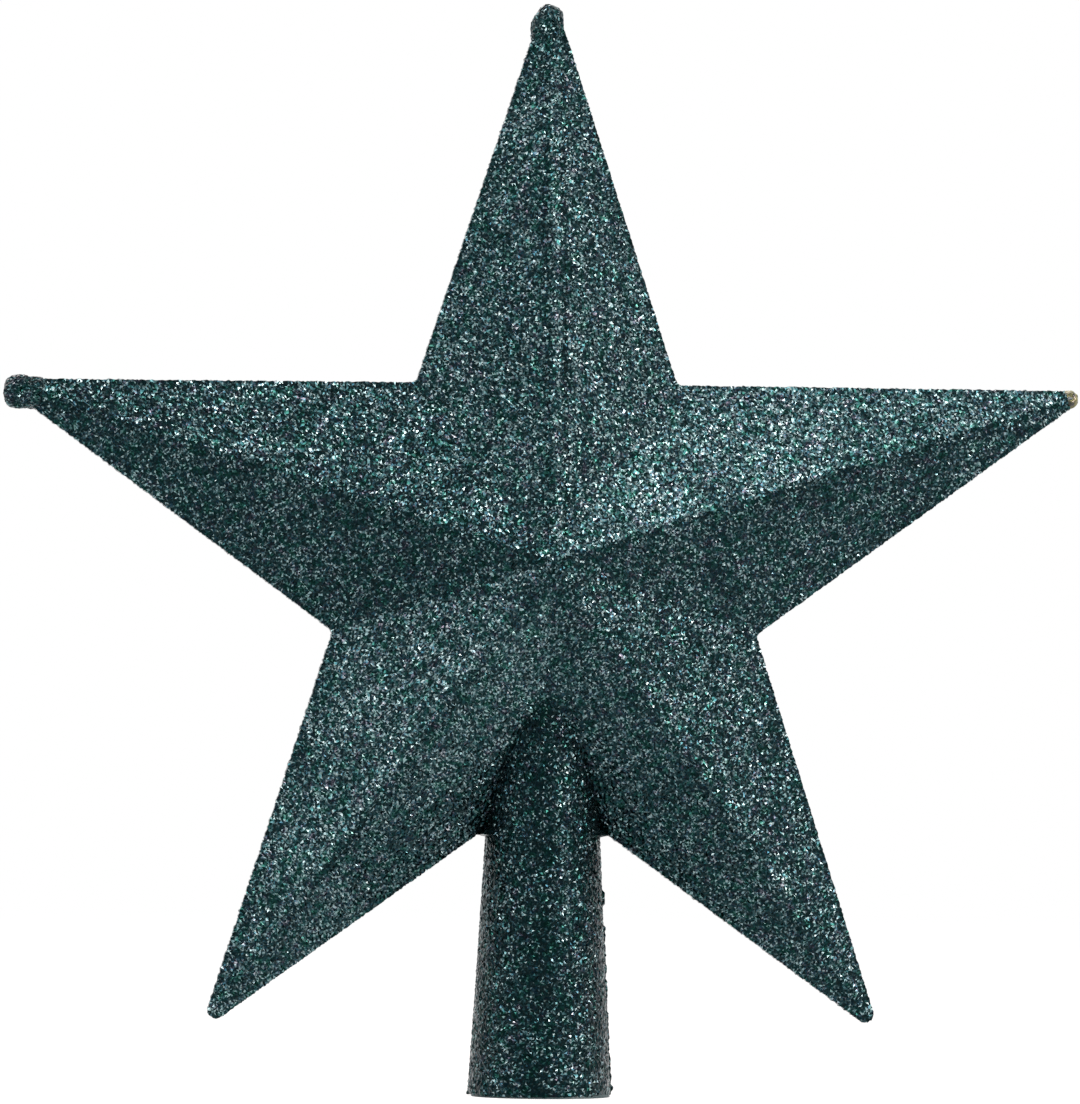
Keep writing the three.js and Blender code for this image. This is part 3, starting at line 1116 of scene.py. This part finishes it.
def add_surroundings(scene, fill):
    """White to look at and to reflect, and soft light at the strength of the fill."""
    world = bpy.data.worlds.new("studio")
    scene.world = world
    finish = Finish(world)
    strength = seen_rays(finish) * (1 - fill) + fill
    background = finish.node("ShaderNodeBackground", {}, {"Color": WHITE, "Strength": strength})
    finish.node("ShaderNodeOutputWorld", {}, {"Surface": background.out()})


def add_camera(scene, centre):
    lens = bpy.data.cameras.new("camera")
    lens.sensor_fit = "HORIZONTAL"
    lens.sensor_width = SENSOR
    lens.lens = LENS
    lens.shift_x, lens.shift_y = SHIFT
    lens.clip_start, lens.clip_end = CLIP
    camera = bpy.data.objects.new("camera", lens)
    azimuth, elevation = math.radians(AZIMUTH), math.radians(ELEVATION)
    back = Vector((
        math.sin(azimuth) * math.cos(elevation),
        -math.cos(azimuth) * math.cos(elevation),
        math.sin(elevation),
    ))
    camera.location = centre + back * DISTANCE
    roll = Matrix.Rotation(math.radians(ROLL), 4, "Z").to_quaternion()
    camera.rotation_mode = "QUATERNION"
    camera.rotation_quaternion = (-back).to_track_quat("-Z", "Y") @ roll
    scene.collection.objects.link(camera)
    scene.camera = camera


class TOPPER_OT_stage(bpy.types.Operator):
    """Builds the floor, the lamps, the surroundings and the camera"""

    bl_idname = "topper.stage"
    bl_label = "Stage"

    def execute(self, context):
        scene = context.scene
        look = scene.topper_stage
        centre = Vector((0, 0, scene.topper_star.centre_height))
        add_floor(scene)
        for name, settings in LAMPS.items():
            add_lamp("lamp_" + name, settings, centre, getattr(look, name))
        add_surroundings(scene, look.fill)
        add_camera(scene, centre)
        scene.view_settings.view_transform = "Standard"
        return {"FINISHED"}


OPERATORS = (
    TOPPER_OT_shell_finish,
    TOPPER_OT_glitter_faces,
    TOPPER_OT_glitter_stem,
    TOPPER_OT_glitter_beads,
    TOPPER_OT_bare_bead,
    TOPPER_OT_stage,
)

GROUPS = {
    "topper_star": StarSizes,
    "topper_stem": StemSizes,
    "topper_flakes": FlakeSizes,
    "topper_glitter": GlitterLook,
    "topper_adhesive": AdhesiveLook,
    "topper_plastic": PlasticLook,
    "topper_stage": StageLook,
}


class TOPPER_PT_panel(bpy.types.Panel):
    """Lists the sizes, the looks and the pieces of the star topper"""

    bl_idname = "TOPPER_PT_panel"
    bl_label = "Star topper"
    bl_space_type = "VIEW_3D"
    bl_region_type = "UI"
    bl_category = "Star topper"

    def draw(self, context):
        for name, group in GROUPS.items():
            box = self.layout.box()
            box.label(text=group.__doc__)
            for field in group.__annotations__:
                box.prop(getattr(context.scene, name), field)
        for operator in OPERATORS:
            self.layout.operator(operator.bl_idname)


def register():
    for group in GROUPS.values():
        bpy.utils.register_class(group)
    for name, group in GROUPS.items():
        setattr(bpy.types.Scene, name, PointerProperty(type=group))
    for operator in OPERATORS:
        bpy.utils.register_class(operator)
    bpy.utils.register_class(TOPPER_PT_panel)


def unregister():
    bpy.utils.unregister_class(TOPPER_PT_panel)
    for operator in reversed(OPERATORS):
        bpy.utils.unregister_class(operator)
    for name, group in reversed(GROUPS.items()):
        delattr(bpy.types.Scene, name)
        bpy.utils.unregister_class(group)


def main():
    register()
    bpy.ops.topper.shell_finish()
    bpy.ops.topper.glitter_faces()
    bpy.ops.topper.glitter_stem()
    bpy.ops.topper.glitter_beads()
    bpy.ops.topper.bare_bead()
    bpy.ops.topper.stage()


if __name__ == "__main__":
    main()
